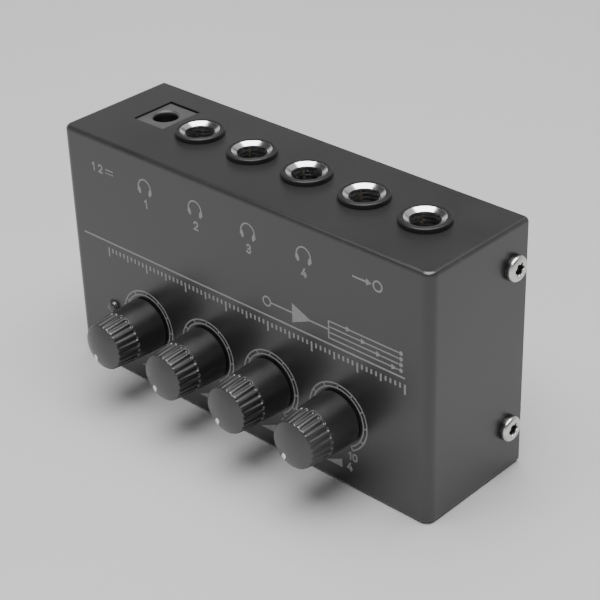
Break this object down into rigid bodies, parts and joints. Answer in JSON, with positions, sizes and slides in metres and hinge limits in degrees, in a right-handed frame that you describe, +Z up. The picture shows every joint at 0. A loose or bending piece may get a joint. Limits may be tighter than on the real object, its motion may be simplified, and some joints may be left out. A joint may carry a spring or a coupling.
{
  "type": "headphone amplifier",
  "caption": "Compact headphone amplifier box with rotary level knobs on one long face and 6.35 mm jacks with a DC power inlet on the adjoining face.",
  "frame": {"origin": "centre of the flat standing face of the housing (knobs and feet not counted)", "axes": "+X along the knob panel to the input jack's end, +Y from the knob panel to the back cover, +Z up to the jack panel"},
  "size_m": [0.1078, 0.0464, 0.0591],
  "materials": {
    "shell_paint": "satin powder coat, fine grain",
    "cover_paint": "satin powder coat",
    "screw_nickel": "bright nickel plate",
    "foot_rubber": "moulded rubber",
    "board_laminate": "solder mask over glass laminate",
    "jack_plastic": "moulded",
    "bush_chrome": "turned and plated",
    "nut_plastic": "moulded",
    "contact_metal": "spring strip, plated",
    "inlet_plastic": "moulded",
    "inlet_metal": "nickel plate",
    "lamp_epoxy": "clear tinted epoxy",
    "lead_tin": "tinned",
    "spacer_plastic": "moulded",
    "pot_plastic": "moulded",
    "shaft_metal": "turned",
    "knob_plastic": "moulded, slightly glossy top",
    "pointer_white": "moulded insert",
    "chip_epoxy": "moulded epoxy",
    "can_sleeve": "shrink sleeve",
    "diode_epoxy": "moulded epoxy",
    "chip_ceramic": "thick film on ceramic"
  },
  "bodies": {
    "root": {"housing_shell": "shell_paint", "back_cover": "cover_paint", "case_screws": "screw_nickel", "rubber_feet": "foot_rubber", "main_board": "board_laminate", "phones_jack_1": "jack_plastic", "phones_jack_2": "jack_plastic", "phones_jack_3": "jack_plastic", "phones_jack_4": "jack_plastic", "input_jack": "jack_plastic", "jack_bushes": "bush_chrome", "jack_nuts": "nut_plastic", "tip_springs": "contact_metal", "ring_springs": "contact_metal", "sleeve_springs": "contact_metal", "dc_socket": "inlet_plastic", "dc_pin": "inlet_metal", "dc_spring": "inlet_metal", "lamp_lens": "lamp_epoxy", "lamp_leads": "lead_tin", "lamp_spacer": "spacer_plastic", "pot_case_1": "pot_plastic", "pot_case_2": "pot_plastic", "pot_case_3": "pot_plastic", "pot_case_4": "pot_plastic", "driver_ic_1": "chip_epoxy", "driver_ic_2": "chip_epoxy", "driver_ic_3": "chip_epoxy", "driver_ic_4": "chip_epoxy", "input_ic": "chip_epoxy", "regulator": "chip_epoxy", "coupling_cap_1": "can_sleeve", "coupling_cap_2": "can_sleeve", "coupling_cap_3": "can_sleeve", "coupling_cap_4": "can_sleeve", "reservoir_cap_1": "can_sleeve", "reservoir_cap_2": "can_sleeve", "power_diode": "diode_epoxy", "chip_resistors": "chip_ceramic"},
    "level_1": {"knob_1": "knob_plastic", "knob_pointer_1": "pointer_white", "pot_shaft_1": "shaft_metal"},
    "level_2": {"knob_2": "knob_plastic", "knob_pointer_2": "pointer_white", "pot_shaft_2": "shaft_metal"},
    "level_3": {"knob_3": "knob_plastic", "knob_pointer_3": "pointer_white", "pot_shaft_3": "shaft_metal"},
    "level_4": {"knob_4": "knob_plastic", "knob_pointer_4": "pointer_white", "pot_shaft_4": "shaft_metal"}
  },
  "joints": [
    {"name": "level_1_turn", "type": "hinge", "parent": "root", "child": "level_1", "pos_m": [-0.02845, -0.015, 0.0164], "axis": [0, 1, 0], "range_deg": [0, 300]},
    {"name": "level_2_turn", "type": "hinge", "parent": "root", "child": "level_2", "pos_m": [-0.00955, -0.015, 0.0164], "axis": [0, 1, 0], "range_deg": [0, 300]},
    {"name": "level_3_turn", "type": "hinge", "parent": "root", "child": "level_3", "pos_m": [0.00935, -0.015, 0.0164], "axis": [0, 1, 0], "range_deg": [0, 300]},
    {"name": "level_4_turn", "type": "hinge", "parent": "root", "child": "level_4", "pos_m": [0.02825, -0.015, 0.0164], "axis": [0, 1, 0], "range_deg": [0, 300]}
  ]
}
